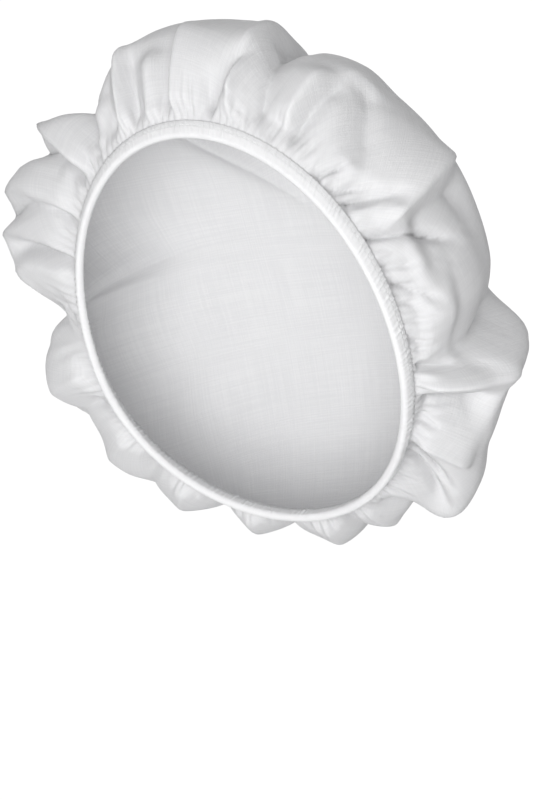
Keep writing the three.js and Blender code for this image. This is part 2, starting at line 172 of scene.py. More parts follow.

# %% [markdown]
# ## Folds
# A fold runs from one place on the cloth to another. It is a ridge or a groove with a side
# of its own width on each hand, so one flank can be steep and the other soft. The first
# table holds the main folds. The packed solid has folds like them, but rounder, because its
# wall is thicker. The second holds the finer creases, which only show on thin cloth. The
# places were read off the photo.

# %% Main folds and fine creases
# A fold goes from the angle start and share low to the angle end and share high. Its depth
# is in FOLD_DEPTH, ridges above 0 and grooves below. Before and after are the widths of its
# two sides in FOLD_WIDTH. An edge near 1 makes it sharp, and one near 2 makes it round.
Fold = namedtuple("Fold", "start low end high depth before after edge")
FOLD_RISES_BY = 0.16
FOLD_FADES_FROM = 0.62
FOLDS = [
    Fold(0, 0, -0.5, 0.38, 1.3, 0.45, 2.4, 1.3),
    Fold(-2.5, 0, -3.5, 0.36, -1.0, 1.6, 0.45, 1.3),
    Fold(10.5, 0, 19, 0.3, -1.4, 0.6, 0.35, 1.2),
    Fold(16.5, 0.02, 17, 0.56, 1.5, 1.1, 0.7, 1.3),
    Fold(25.5, 0, 21, 0.56, -1.6, 0.6, 2.1, 1.3),
    Fold(20, 0.34, 20.5, 0.95, -1.3, 0.35, 2.8, 1.3),
    Fold(32, 0.05, 37, 0.32, 1.1, 1.6, 0.6, 1.3),
    Fold(34.5, 0.01, 41, 0.36, -1.4, 0.35, 1.1, 1.2),
    Fold(44, 0.36, 55, 0.09, -0.8, 0.8, 1.5, 1.3),
    Fold(67, 0.04, 67.5, 0.48, 1.6, 1.9, 0.45, 1.1),
    Fold(69.5, 0.1, 72, 0.52, -2.0, 0.5, 3.0, 1.3),
    Fold(63, -0.04, 82, 0.31, -1.2, 0.3, 0.4, 1.1),
    Fold(87, 0.05, 91, 0.2, 0.9, 2.6, 2.3, 1.4),
    Fold(103.5, 0.13, 100, 0.52, -1.0, 0.4, 1.2, 1.2),
    Fold(107.5, 0.2, 109, 0.62, 0.7, 1.0, 1.0, 1.2),
    Fold(100, 0, 107, 0.25, -1.2, 0.4, 0.5, 1.2),
    Fold(105, 0, 109.5, 0.32, 1.4, 1.0, 0.6, 1.2),
    Fold(110.5, 0, 114, 0.27, -3.0, 0.45, 1.5, 1.1),
    Fold(122.5, 0, 131, 0.24, 1.5, 2.4, 0.45, 1.2),
    Fold(126, -0.01, 140, 0.19, -2.2, 0.35, 0.6, 1.1),
    Fold(131, -0.01, 148, 0.24, -2.4, 0.5, 2.0, 1.1),
    Fold(129, 0.35, 130, 0.9, -0.7, 2.0, 2.0, 1.5),
    Fold(-15, 0, -17.5, 0.3, -1.3, 0.7, 1.2, 1.3),
    Fold(-18.5, 0, -20, 0.34, 1.5, 0.8, 0.9, 1.2),
    Fold(-25, 0.01, -28, 0.32, -1.1, 1.0, 1.2, 1.4),
    Fold(-33.5, 0, -38.5, 0.6, -2.6, 1.0, 1.0, 1.2),
    Fold(-39, 0.2, -46, 0.95, -2.6, 2.2, 1.8, 1.4),
    Fold(-38.5, 0, -60, 0.5, 1.5, 0.45, 1.5, 1.1),
    Fold(-41, 0, -64, 0.47, -2.0, 1.4, 0.4, 1.1),
    Fold(-51.5, 0, -75, 0.4, 1.1, 0.6, 1.4, 1.2),
    Fold(-53.5, 0, -76, 0.36, -1.7, 1.1, 0.4, 1.1),
    Fold(-64, 0, -78, 0.32, 1.0, 0.4, 1.6, 1.2),
    Fold(-65.5, 0, -78, 0.26, -2.4, 1.0, 0.4, 1.1),
    Fold(-69.5, 0, -84, 0.3, 1.1, 0.9, 0.9, 1.3),
    Fold(-80, 0.02, -87, 0.3, -1.1, 0.9, 0.9, 1.2),
    Fold(-97, 0.03, -104, 0.26, 1.0, 1.3, 1.2, 1.4),
    Fold(-104, 0.02, -111, 0.34, -1.2, 1.1, 0.9, 1.2),
    Fold(-116, 0.03, -120, 0.3, 1.0, 1.5, 1.4, 1.4),
    Fold(-125, 0.02, -130, 0.34, -1.1, 0.9, 0.9, 1.2),
    Fold(-136, 0.03, -138, 0.34, 1.0, 1.5, 1.4, 1.4),
    Fold(-146, 0.02, -147, 0.36, -1.2, 0.9, 0.9, 1.2),
    Fold(-157, 0.03, -155, 0.36, 1.1, 1.5, 1.5, 1.4),
    Fold(-167, 0.02, -164, 0.38, -1.1, 0.9, 1.1, 1.2),
    Fold(178, 0.03, 186, 0.38, 1.0, 1.5, 1.5, 1.4),
    Fold(171, 0.02, 176, 0.38, -1.1, 0.9, 0.9, 1.2),
    Fold(162, 0.03, 167, 0.36, 0.8, 1.1, 1.5, 1.4),
    Fold(154, 0.02, 157, 0.48, -2.7, 1.0, 1.5, 1.3),
]
CREASES = [
    Fold(-8.5, 0, -9.5, 0.24, 1.0, 1.0, 1.0, 1.8),
    Fold(4.5, 0.01, 5, 0.12, -0.3, 0.3, 0.3, 1.5),
    Fold(9.5, 0.01, 10, 0.16, -0.3, 0.3, 0.5, 1.4),
    Fold(14, 0.1, 23, 0.03, -0.4, 0.3, 0.4, 1.3),
    Fold(18, 0.02, 18, 0.09, 0.5, 0.8, 0.8, 1.6),
    Fold(29, 0, 31, 0.12, -0.5, 0.3, 0.6, 1.4),
    Fold(44.5, -0.01, 51.5, 0.1, -1.2, 0.3, 0.6, 1.1),
    Fold(46, 0, 54, 0.12, 0.5, 0.9, 0.5, 1.4),
    Fold(49, -0.01, 61, 0.12, -0.9, 0.3, 0.5, 1.1),
    Fold(54, -0.01, 66, 0.17, -1.4, 0.3, 0.6, 1.1),
    Fold(58, 0, 68, 0.14, 0.5, 0.9, 0.5, 1.4),
    Fold(72, -0.01, 78, 0.11, -0.8, 0.3, 0.5, 1.1),
    Fold(76, -0.01, 88, 0.14, -1.1, 0.3, 0.6, 1.1),
    Fold(81, 0, 90, 0.1, -0.4, 0.3, 0.6, 1.2),
    Fold(75, 0.02, 81, 0.13, 0.2, 0.9, 0.5, 1.4),
    Fold(91, -0.01, 96, 0.07, -0.6, 0.3, 0.5, 1.3),
    Fold(117, 0, 119, 0.07, -0.8, 0.4, 0.6, 1.2),
    Fold(-33, 0.03, -32, 0.2, 0.6, 1.0, 1.0, 1.6),
    Fold(-46, 0, -50, 0.14, 0.5, 0.6, 0.6, 1.4),
    Fold(-58, 0, -63, 0.18, 0.5, 0.6, 0.6, 1.4),
]


def fold_depth(fold, angle, share):
    """How far one fold lifts the cloth at a place on it."""
    middle = (fold.start + fold.end) / 2
    degree = math.radians(1) * SPREAD_RADIUS
    run = (fold.end - fold.start) * degree
    climb = (fold.high - fold.low) * CLOTH_LENGTH
    across = (middle + turn(angle - middle) - fold.start) * degree
    along = (share - fold.low) * CLOTH_LENGTH
    nearest = np.clip((across * run + along * climb) / (run**2 + climb**2), 0, 1)
    distance = np.hypot(across - nearest * run, along - nearest * climb)
    width = FOLD_WIDTH * np.where(across * climb > along * run, fold.after, fold.before)
    fade = smooth(0, FOLD_RISES_BY, nearest) * (1 - smooth(FOLD_FADES_FROM, 1, nearest))
    return FOLD_DEPTH * fold.depth * fade * np.exp(-((distance / width) ** fold.edge))


print("main folds:", len(FOLDS), "fine creases:", len(CREASES))

# %% [markdown]
# ## The crown's surface
# The hem is an oval in a plane that slopes down from the front to the rear. From each point
# of it the cloth follows a quarter ellipse, made steeper at its start, out to the widest
# line, and another in to the top. Folds lift it square to that curve.

# %% Surface of the crown


def hem_line(angle):
    """Point, lift and way straight out of the hem at an angle, in the opening's plane."""
    a = np.radians(angle)
    length = np.where(np.cos(a) > 0, HEM_TO_FRONT, HEM_TO_REAR)
    x = HEM_WIDTH / 2 * np.sin(a)
    down = -length * np.cos(a)
    lift = REAR_LIFT * np.maximum(0, -np.cos(a)) ** 2
    radius = np.hypot(x, down - CROWN_SHIFT)
    return x, down, lift, radius, x / radius, (down - CROWN_SHIFT) / radius


def place(angle, outward, upward):
    """A point given by its distance out from the hem's line and up from the opening's plane."""
    x, down, lift, _, out_x, out_down = hem_line(angle)
    v = down + out_down * outward
    n = lift + upward
    cos, sin = math.cos(HEM_SLOPE), math.sin(HEM_SLOPE)
    return np.stack([x + out_x * outward, v * cos + n * sin, n * cos - v * sin], -1)


def hem_lean(angle):
    """The hem leans out in front and stands straight at the rear."""
    return HEM_LEAN_FRONT / 2 * (1 + np.cos(np.radians(angle)))


def hem_place(angle, along, off):
    """A point of the hem: along is its depth from the free edge, off how far it stands out."""
    lean = hem_lean(angle)
    outward = along * np.sin(lean) + off * np.cos(lean)
    upward = along * np.cos(lean) - off * np.sin(lean)
    return place(angle, outward, upward)


def crown_surface(angle, share, lift=0.0):
    """Points of the crown, lifted off its smooth form by the given depth."""
    _, _, hem_lift, radius, _, _ = hem_line(angle)
    evenness = smooth(LOBES_FADE_FROM, LOBES_FADE_TO, share)
    reach = PUFF_REACH * (all_round("reach", angle) * (1 - evenness) + evenness)
    rise = PUFF_RISE * (all_round("rise", angle) * (1 - evenness) + evenness)
    lean = hem_lean(angle)
    start_out = CLOTH_START * np.sin(lean) + CLOTH_WALL / 2 * np.cos(lean)
    start_up = CLOTH_START * np.cos(lean) - CLOTH_WALL / 2 * np.sin(lean)
    radius = radius + start_out
    height = CROWN_HEIGHT - hem_lift - start_up - rise
    below = share < WIDEST_SHARE
    first = share / WIDEST_SHARE
    second = (share - WIDEST_SHARE) / (1 - WIDEST_SHARE)
    bend = math.pi / 2 * np.where(below, first, second)
    sin, cos = np.sin(bend), np.cos(bend)
    climb = (1 - START_STEEPNESS) * (1 - cos) + START_STEEPNESS * first
    outward = np.where(below, reach * sin, (reach + radius) * cos - radius)
    upward = np.where(below, rise * climb, rise + height * sin)
    run_out = np.where(below, reach * cos, -(reach + radius) * sin)
    steep = (1 - START_STEEPNESS) * sin + START_STEEPNESS * 2 / math.pi
    run_up = np.where(below, rise * steep, height * cos)
    length = np.hypot(run_out, run_up)
    outward = outward + start_out + lift * run_up / length
    upward = upward + start_up - lift * run_out / length
    return place(angle, outward, upward)


degrees = np.arange(0, 360, 1.0)
widest = crown_surface(degrees, np.full(len(degrees), WIDEST_SHARE))
print("widest line spans", (widest.max(axis=0) - widest.min(axis=0)).round(3), "m")

# %% [markdown]
# ## Letting the cloth settle
# A formula alone looks like pressed plastic, because real cloth can't stretch: wherever it
# is crowded it has to buckle. So the crown is laid out as a grid of threads, each with the
# length that it has in the flat round, and the grid is relaxed: each thread in turn is
# brought back towards its own length, while slow drift away from the smooth form is taken
# out. What is left is the buckling, which joins small gathers into folds as real cloth
# does. Settling would flatten the folds of the two tables, so here they are only hinted at,
# to steer the buckles, and the mesh gets them at full depth afterwards. Blender's Cloth was
# tried first, but a gathered edge this fine needs more points than it can settle in the
# time, so the same idea is written out with numpy here.

# %% The grid of threads
GRID_COLUMNS = 576
GRID_ROWS = 96
GRID_END = 0.97
ARC_STEPS = 400
ARC_EVERY = 15.0
SWINGS = 6
FOLD_HINT = 0.35
Gathers = namedtuple("Gathers", "count start end fade size")
SMALL_GATHERS = Gathers(83, 0.0, 0.04, 0.06, 0.7 * MM)
JOINED_GATHERS = Gathers(31, 0.03, 0.07, 0.10, 0.6 * MM)
GATHERS_RISE_OVER = 0.03

rng = np.random.default_rng(7)


def arc_shares(count):
    """Rows evenly spaced along the cloth: their place on its length, and their shares."""
    shares = np.linspace(0, 1, ARC_STEPS + 1)
    angles, grid = np.meshgrid(np.arange(0, 360, ARC_EVERY), shares)
    steps = np.linalg.norm(np.diff(crown_surface(angles, grid), axis=0), axis=2).mean(axis=1)
    arc = np.concatenate([[0], np.cumsum(steps)])
    spots = np.linspace(0, GRID_END, count)
    return spots, np.interp(spots * arc[-1], arc, shares), arc[-1]


def wander(angle, waves, size):
    """A slow random swing all the way round, the same at each run."""
    phases = rng.uniform(0, 2 * math.pi, SWINGS)
    parts = rng.normal(size=SWINGS)
    around = np.radians(angle)
    swings = [parts[k] * np.sin((k + 1) * waves * around + phases[k]) for k in range(SWINGS)]
    return size * sum(swings) / math.sqrt(SWINGS)


def gathers(angle, share, family):
    """One family of gathers, with uneven spacing, height and length."""
    phase = wander(angle, 3, 2.4) + wander(angle, 7, 1.6)
    reach = family.end * (1 + wander(angle, 4, 0.5))
    grow = smooth(family.start - GATHERS_RISE_OVER, family.start + GATHERS_RISE_OVER, share)
    fade = 1 - smooth(reach, reach + family.fade, share)
    strength = grow * fade * (1 + wander(angle, 5, 0.5))
    return family.size * strength * np.cos(family.count * np.radians(angle) + phase)


spots, row_shares, meridian = arc_shares(GRID_ROWS)
columns = np.arange(GRID_COLUMNS) * 360 / GRID_COLUMNS
ANGLES, SHARES = np.meshgrid(columns, row_shares)
lift = FOLD_HINT * sum(fold_depth(fold, ANGLES, SHARES) for fold in FOLDS + CREASES)
goal = crown_surface(ANGLES, SHARES, lift)
for family in (SMALL_GATHERS, JOINED_GATHERS):
    lift = lift + gathers(ANGLES, SHARES, family)
sheet = crown_surface(ANGLES, SHARES, lift)
print(f"cloth from hem to top: {meridian:.3f} m, cut radius {CUT_RADIUS:.3f} m")

# %% [markdown]
# ## Threads that keep their length
# Each kind of thread is one array of lengths, and even and odd threads are handled in turn,
# so that no point is pulled from both sides at once. A thread that is too long is brought
# all the way back, because cotton doesn't stretch. One that is too short gives way more
# easily, and most easily high on the crown, where the photo shows wide calm puffs.

# %% Threads
PUSH_LOW = 0.08
PUSH_HIGH = 0.02
PUSH_FADES_FROM = 0.03
PUSH_FADES_TO = 0.16
CROSS_PULL = 0.25
CROSS_PUSH = 0.1
DOWN_SLACK = 1.01
LEAST_LENGTH = 1e-9
push_fade = smooth(PUSH_FADES_FROM, PUSH_FADES_TO, row_shares)
round_push = (PUSH_LOW + (PUSH_HIGH - PUSH_LOW) * push_fade)[:, None]
round_length = (2 * math.pi * CUT_RADIUS * (1 - spots) / GRID_COLUMNS)[:, None]
down_length = np.linalg.norm(np.diff(goal, axis=0), axis=2) * DOWN_SLACK
cross_length = np.sqrt(round_length[:-1] * round_length[1:] + down_length**2)


def correction(first, second, length, pull, push):
    """Half the move that brings two points to their thread's length."""
    gap = second - first
    now = np.sqrt((gap * gap).sum(axis=-1)) + LEAST_LENGTH
    error = (now - length) / now
    return gap * (0.5 * error * np.where(error > 0, pull, push))[..., None]


def settle_round(cloth):
    """Every other thread round the cap, and then the ones between."""
    for odd in (0, 1):
        ends = (np.arange(odd, GRID_COLUMNS, 2) + 1) % GRID_COLUMNS
        move = correction(cloth[:, odd::2], cloth[:, ends], round_length, 1, round_push)
        cloth[:, odd::2] += move
        cloth[:, ends] -= move


def settle_down(cloth, shift, length, pull, push):
    """Threads from each row to the next, straight up or one column to the side."""
    for odd in (0, 1):
        pairs = (GRID_ROWS - odd) // 2
        lower = slice(odd, odd + 2 * pairs - 1, 2)
        upper = slice(odd + 1, odd + 2 * pairs, 2)
        above = np.roll(cloth[upper], -shift, axis=1)
        move = correction(cloth[lower], above, length[lower], pull, push)
        cloth[lower] += move
        cloth[upper] -= np.roll(move, shift, axis=1)


print("threads round the hem:", round(float(round_length[0, 0]) / MM, 2), "mm from point to point")

# %% [markdown]
# ## Stiffness and slow drift
# Cotton resists sharp kinks a little, so each step takes some of them out. Where the whole
# cloth drifts away from its form, that isn't buckling, and averaging over the surroundings
# finds this slow part. The hem's row stays where it is, because it is sewn down.

# %% Settle the cloth
RELAX_STEPS = 150
MOST_DRIFT = 3 * MM
BEND_ROUND = 0.1
BEND_DOWN = 1.5 * BEND_ROUND
SLOW_PULL = 0.5
STEADY_PULL = 0.02
SECOND_ROW_FREEDOM = 0.5
TOP_ROW_FREEDOM = 0.2


def bend_back(cloth):
    """Takes out the sharpest kinks, first round the cap and then down the cloth."""
    kink = (np.roll(cloth, 1, axis=1) + np.roll(cloth, -1, axis=1)) / 2 - cloth
    cloth -= BEND_ROUND * ((np.roll(kink, 1, axis=1) + np.roll(kink, -1, axis=1)) / 2 - kink)
    kink = np.zeros_like(cloth)
    kink[1:-1] = (cloth[:-2] + cloth[2:]) / 2 - cloth[1:-1]
    again = np.zeros_like(cloth)
    again[1:-1] = (kink[:-2] + kink[2:]) / 2 - kink[1:-1]
    cloth -= BEND_DOWN * again


def slow_part(drift, across=10, along=4):
    """The drift averaged over its surroundings, which leaves the buckles out."""
    for _ in range(2):
        wrapped = np.concatenate([drift[:, -across - 1 :], drift, drift[:, :across]], axis=1)
        total = wrapped.cumsum(axis=1)
        drift = (total[:, 2 * across + 1 :] - total[:, : -2 * across - 1]) / (2 * across + 1)
        ends = [np.repeat(drift[:1], along + 1, axis=0), drift, np.repeat(drift[-1:], along, axis=0)]
        total = np.concatenate(ends).cumsum(axis=0)
        drift = (total[2 * along + 1 :] - total[: -2 * along - 1]) / (2 * along + 1)
    return drift


freedom = np.ones((GRID_ROWS, 1, 1))
freedom[0] = 0
freedom[1] = SECOND_ROW_FREEDOM
freedom[-1] = TOP_ROW_FREEDOM
for step in range(RELAX_STEPS):
    settle_round(sheet)
    settle_down(sheet, 0, down_length, 1, round_push[0, 0])
    settle_down(sheet, 1, cross_length, CROSS_PULL, CROSS_PUSH)
    settle_down(sheet, -1, cross_length, CROSS_PULL, CROSS_PUSH)
    bend_back(sheet)
    if step % 2 == 0:
        sheet -= SLOW_PULL * slow_part(sheet - goal)
    drift = (1 - STEADY_PULL) * (sheet - goal)
    far = np.linalg.norm(drift, axis=2, keepdims=True)
    sheet = goal + freedom * drift * np.minimum(1, MOST_DRIFT / np.maximum(far, LEAST_LENGTH))
buckle = sheet - goal
print("mean buckle:", round(float(np.linalg.norm(buckle, axis=2).mean()) / MM, 2), "mm")

# %% [markdown]
# ## Reading the settled cloth
# The grid of buckles is read like a map, with a smooth curve between its points. On each
# side the gathers swing back on their way up, as the cloth is drawn that way when worn. At
# the front it is pulled tightest and lies calmest.

# %% The cloth at any place
LEAN_LEFT = 65
LEAN_RIGHT = 35
LEAN_AT = 62
LEAN_SPREAD = 30
CALM_ALL_ROUND = 0.5
CALM_IN_FRONT = 0.3
CALM_SPREAD = 35


def curve_weights(t):
    """Weights of four neighbours on a smooth curve between the middle two."""
    return (
        (-t + 2 * t**2 - t**3) / 2,
        (2 - 5 * t**2 + 3 * t**3) / 2,
        (t + 4 * t**2 - 3 * t**3) / 2,
        (-(t**2) + t**3) / 2,
    )


def read_buckle(angle, spot):
    """The buckles of the settled grid at an angle, and at a spot along the cloth."""
    column = np.asarray(angle) / 360 * GRID_COLUMNS
    row = np.clip(np.asarray(spot) / GRID_END, 0, 1) * (GRID_ROWS - 1)
    column_index = np.floor(column).astype(int)
    row_index = np.minimum(np.floor(row).astype(int), GRID_ROWS - 2)
    across = curve_weights(column - column_index)
    along = curve_weights(row - row_index)
    total = 0
    for i in range(4):
        rows = np.clip(row_index + i - 1, 0, GRID_ROWS - 1)
        for j in range(4):
            near = buckle[rows, (column_index + j - 1) % GRID_COLUMNS]
            total = total + near * (along[i] * across[j])[..., None]
    return total


def gather_lean(angle):
    """Degrees that gathers swing round the cap on their way up: to the back at each side."""
    left = LEAN_LEFT * np.exp(-(((turn(angle) - LEAN_AT) / LEAN_SPREAD) ** 2))
    right = LEAN_RIGHT * np.exp(-(((turn(angle) + LEAN_AT) / LEAN_SPREAD) ** 2))
    return left - right


def read_cloth(angle, spot):
    """The cloth itself: the smooth form with its folds, and the buckles on top."""
    share = np.interp(spot, spots, row_shares)
    folds = sum(fold_depth(fold, angle, share) for fold in FOLDS + CREASES)
    calm = 1 - CALM_ALL_ROUND - CALM_IN_FRONT * np.exp(-((turn(angle) / CALM_SPREAD) ** 2))
    small = read_buckle(angle - gather_lean(angle) * spot, spot) * np.asarray(calm)[..., None]
    return crown_surface(angle, share, folds) + small


widest_spot = np.interp(WIDEST_SHARE, row_shares, spots)
moved = np.linalg.norm(read_cloth(degrees, np.full(len(degrees), widest_spot)) - widest, axis=1)
print("folds and buckles move the widest line by up to", round(float(moved.max()) / MM, 1), "mm")

# %% [markdown]
# ## The smallest gathers
# Right beside the stitches the cloth stands in gathers about 3.5 mm apart, too small for the
# grid. They are a wave with pinched valleys, laid on along the cloth's own face, and uneven
# in spacing, height and length, since no sewing pulls up evenly.

# %% Fine gathers
FINE_GATHERS = 150
FINE_DEPTH = 0.45 * MM
FINE_END = 0.08
FINE_FULL_TO = 0.25
FINE_START_FROM = -0.01
FINE_START_TO = 0.012
MARKS = np.arange(0, 360, 0.25)


def face_direction(angle, spot):
    """The way out of the cloth, from its slopes round the cap and along its length."""
    round_step = 0.3
    along_step = 0.004
    around = read_cloth(angle + round_step, spot) - read_cloth(angle - round_step, spot)
    along = read_cloth(angle, spot + along_step) - read_cloth(angle, np.maximum(spot - along_step, 0))
    normal = np.cross(around, along)
    return normal / np.linalg.norm(normal, axis=-1, keepdims=True)


fine_phase = wander(MARKS, 9, 1.2)
fine_size = 1 + wander(MARKS, 11, 0.35)
fine_reach = FINE_END * (1 + wander(MARKS, 13, 0.35))


def fine_gathers(angle, spot):
    """How far the small gathers beside the hem lift the cloth."""
    angle = angle - gather_lean(angle) * spot
    phase = np.interp(angle, MARKS, fine_phase, period=360)
    size = np.interp(angle, MARKS, fine_size, period=360)
    reach = np.interp(angle, MARKS, fine_reach, period=360)
    turned = FINE_GATHERS * np.radians(angle) + phase
    pinched = 0.5 * np.cos(turned) + np.abs(np.cos(turned / 2)) - 0.5
    rise = smooth(FINE_START_FROM, FINE_START_TO, spot)
    fade = rise * (1 - smooth(FINE_FULL_TO * reach, reach, spot))
    return FINE_DEPTH * size * fade * pinched


print("fine gathers:", FINE_GATHERS, "every", round(HEM_GIRTH / FINE_GATHERS / MM, 1), "mm")

# %% [markdown]
# ## From the cloth to a mesh
# The fine gathers only live beside the hem, so the mesh is dense there, and further up, where
# the cloth is calm, each band has half the columns of the one below. The first two rings lie
# inside the hem's seam, so no gap shows between hem and crown. Each point also gets its place
# in the flat round as a UV coordinate, in metres, for the weave to follow.

# %% Rings and faces
FINE_COLUMNS = 1152
SEAM_INSIDE = (SEAM_DEPTH - 0.3 * MM, SEAM_DEPTH / 2)
Band = namedtuple("Band", "columns start end rows")
BANDS = [
    Band(FINE_COLUMNS, 0.0, 0.11, 12),
    Band(FINE_COLUMNS // 2, 0.12, 0.66, 48),
    Band(FINE_COLUMNS // 4, 0.675, 0.86, 14),
    Band(FINE_COLUMNS // 8, 0.875, 0.93, 5),
    Band(FINE_COLUMNS // 16, 0.945, 0.965, 2),
]


def crown_rings():
    """Rings of points from inside the hem's seam to the top, and each one's columns."""
    rings = []
    flat = []
    angles = np.arange(FINE_COLUMNS) * 360 / FINE_COLUMNS
    for depth in SEAM_INSIDE:
        rings.append(hem_place(angles, HEM_DEPTH - depth, 0.0 * angles))
        flat.append((angles, -depth / meridian))
    for band in BANDS:
        angles = np.arange(band.columns) * 360 / band.columns
        for spot in np.linspace(band.start, band.end, band.rows):
            spots_here = np.full(band.columns, spot)
            points = read_cloth(angles, spots_here)
            if spot < 2 * FINE_END:
                lifted = fine_gathers(angles, spots_here)[:, None]
                points = points + face_direction(angles, spots_here) * lifted
            rings.append(points)
            flat.append((angles, spot))
    return rings, flat


def ring_faces(rings):
    """Faces between rings, where the next ring has as many columns or half of them."""
    faces = []
    start = 0
    for ring, following in zip(rings, rings[1:]):
        size, next_size = len(ring), len(following)
        step = size // next_size
        column = np.arange(next_size)
        here = start + column * step
        after = start + (column + 1) * step % size
        above = start + size + column
        above_after = start + size + (column + 1) % next_size
        if step == 1:
            faces += np.stack([here, after, above_after, above], -1).tolist()
        else:
            faces += np.stack([here, here + 1, above], -1).tolist()
            faces += np.stack([here + 1, after, above_after, above], -1).tolist()
        start += size
    return faces


def flat_layout(flat):
    """Where each ring's points lay in the flat round, in metres."""
    laid = []
    for angles, spot in flat:
        radius = CUT_RADIUS * (1 - spot)
        turns = np.radians(angles)
        laid.append(np.stack([radius * np.sin(turns), -radius * np.cos(turns)], -1))
    return np.concatenate(laid)


rings, flat = crown_rings()
print("rings:", len(rings), "from", len(rings[0]), "to", len(rings[-1]), "columns")

# %% [markdown]
# ## The crown
# The last ring closes with a fan of triangles round one point at the top. The mesh is a
# single layer, and a Solidify modifier gives it the cloth's thickness, half to each side.

# %% Mesh of the crown


def new_piece(name, points, faces, flat=None):
    """A smooth-shaded mesh object, with the cloth's flat layout as its UV map."""
    mesh = bpy.data.meshes.new(name)
    mesh.from_pydata(np.asarray(points).tolist(), [], faces)
    mesh.update()
    mesh.shade_smooth()
    if flat is not None:
        layer = mesh.uv_layers.new(name="grain")
        corners = np.zeros(len(mesh.loops), dtype=np.int32)
        mesh.loops.foreach_get("vertex_index", corners)
        layer.data.foreach_set("uv", np.asarray(flat)[corners].astype(np.float32).ravel())
    piece = bpy.data.objects.new(name, mesh)
    bpy.context.scene.collection.objects.link(piece)
    return piece


top = crown_surface(np.zeros(1), np.ones(1))
apex = sum(len(ring) for ring in rings)
last_size = len(rings[-1])
last_start = apex - last_size
faces = ring_faces(rings)
for column in range(last_size):
    faces.append([last_start + column, last_start + (column + 1) % last_size, apex])
points = np.concatenate(rings + [top])
crown = new_piece("crown_cloth", points, faces, np.concatenate([flat_layout(flat), [[0, 0]]]))
thick = crown.modifiers.new("cloth_thickness", "SOLIDIFY")
thick.thickness = CLOTH_THICKNESS
thick.offset = 0
print("crown:", len(points), "points,", len(faces), "faces")

# %% [markdown]
# ## The hem
# The edge of the round is folded over the elastic and sewn down, so the hem is a soft flat
# tube. Pulled up to less than half its length it puckers into small ridges across its
# width, about 2 mm apart and a little slanted, deepest along the row of stitches. It could
# be swept along a curve, but a section that is worked out anew at each place round the
# opening can pucker and lean as it goes. It is hollow, to leave the elastic its room.

# %% Mesh of the hem
HEM_COLUMNS = 1440
PUCKERS = 236
PUCKER_DEPTH = 0.4 * MM
PUCKER_SLANT = 0.55 / MM
PUCKER_SHARPNESS = 0.7
STITCH_LINE = 5.4 * MM
STITCH_DENT = 0.35 * MM
EDGE_ROUND = 1.6 * MM
LIP_OFF = 0.9 * MM
LIP_WALL = 0.45 * MM
DENT_WIDTH = 0.45 * MM
LIP_RUN = 0.8 * MM
OUTER_ROWS = 11
EDGE_ROWS = (0.6, 0.25, 0.05)
PUCKER_AT_EDGE = 0.35
PUCKER_CALM_SPREAD = 45
pucker_phase = wander(MARKS, 8, 2.2) + wander(MARKS, 31, 1.6)
pucker_size = 1 + wander(MARKS, 17, 0.5)


def hem_off(along):
    """How far the hem's outer face stands from its middle line, before it puckers."""
    edge = np.sqrt(np.clip(1 - ((EDGE_ROUND - along) / EDGE_ROUND) ** 2, 0, 1))
    full = HEM_THICKNESS / 2 * np.where(along < EDGE_ROUND, edge, 1)
    slope = smooth(STITCH_LINE - LIP_RUN, HEM_DEPTH, along)
    dent = STITCH_DENT * np.exp(-(((along - STITCH_LINE) / DENT_WIDTH) ** 2))
    return full + (LIP_OFF - full) * slope - dent


def pucker(angle, along):
    """How far the hem's puckers stand out, deepest at the stitches and calmest in front."""
    phase = np.interp(angle, MARKS, pucker_phase, period=360)
    size = np.interp(angle, MARKS, pucker_size, period=360)
    wave = np.sin(PUCKERS * np.radians(angle) + phase + PUCKER_SLANT * along)
    ridge = 0.5 * wave + 0.5 * (2 * np.abs(wave) ** PUCKER_SHARPNESS - 1)
    depth = PUCKER_AT_EDGE + (1 - PUCKER_AT_EDGE) * smooth(0, STITCH_LINE, along)
    calm = 1 - CALM_IN_FRONT * np.exp(-((turn(angle) / PUCKER_CALM_SPREAD) ** 2))
    return PUCKER_DEPTH * depth * calm * size * ridge


def hem_section(angle):
    """The section at each angle: its outer face from lip to lip, then its inner face."""
    outer = np.linspace(HEM_DEPTH, EDGE_ROUND, OUTER_ROWS)
    along = np.concatenate([outer, EDGE_ROUND * np.array(EDGE_ROWS)])
    ring = []
    for side, order in ((1, along), (-1, along[::-1])):
        for depth in order:
            off = hem_off(depth) + pucker(angle, depth)
            ring.append(hem_place(angle, depth, side * off))
        if side == 1:
            ring.append(hem_place(angle, 0.0, 0 * angle))
    inner = HEM_THICKNESS / 2 - HEM_WALL
    lip = LIP_OFF - LIP_WALL
    for depth, off in (
        (HEM_DEPTH, -lip),
        (STITCH_LINE, -inner),
        (HEM_WALL, -inner),
        (HEM_WALL, inner),
        (STITCH_LINE, inner),
        (HEM_DEPTH, lip),
    ):
        ring.append(hem_place(angle, depth, off + 0 * angle))
    return np.stack(ring, axis=1)


def closed_tube(name, rings, around_length):
    """A ring-shaped tube from one section for each column."""
    columns, size = rings.shape[:2]
    column, corner = np.meshgrid(np.arange(columns), np.arange(size), indexing="ij")
    here = column * size
    after = (column + 1) % columns * size
    beside = (corner + 1) % size
    quads = np.stack([here + corner, here + beside, after + beside, after + corner], -1)
    steps = np.linalg.norm(np.diff(rings.mean(axis=0), axis=0), axis=1)
    across = np.concatenate([[0], np.cumsum(steps)])
    flat = np.stack(np.broadcast_arrays(column * around_length / columns, across[corner]), -1)
    return new_piece(name, rings.reshape(-1, 3), quads.reshape(-1, 4).tolist(), flat.reshape(-1, 2))


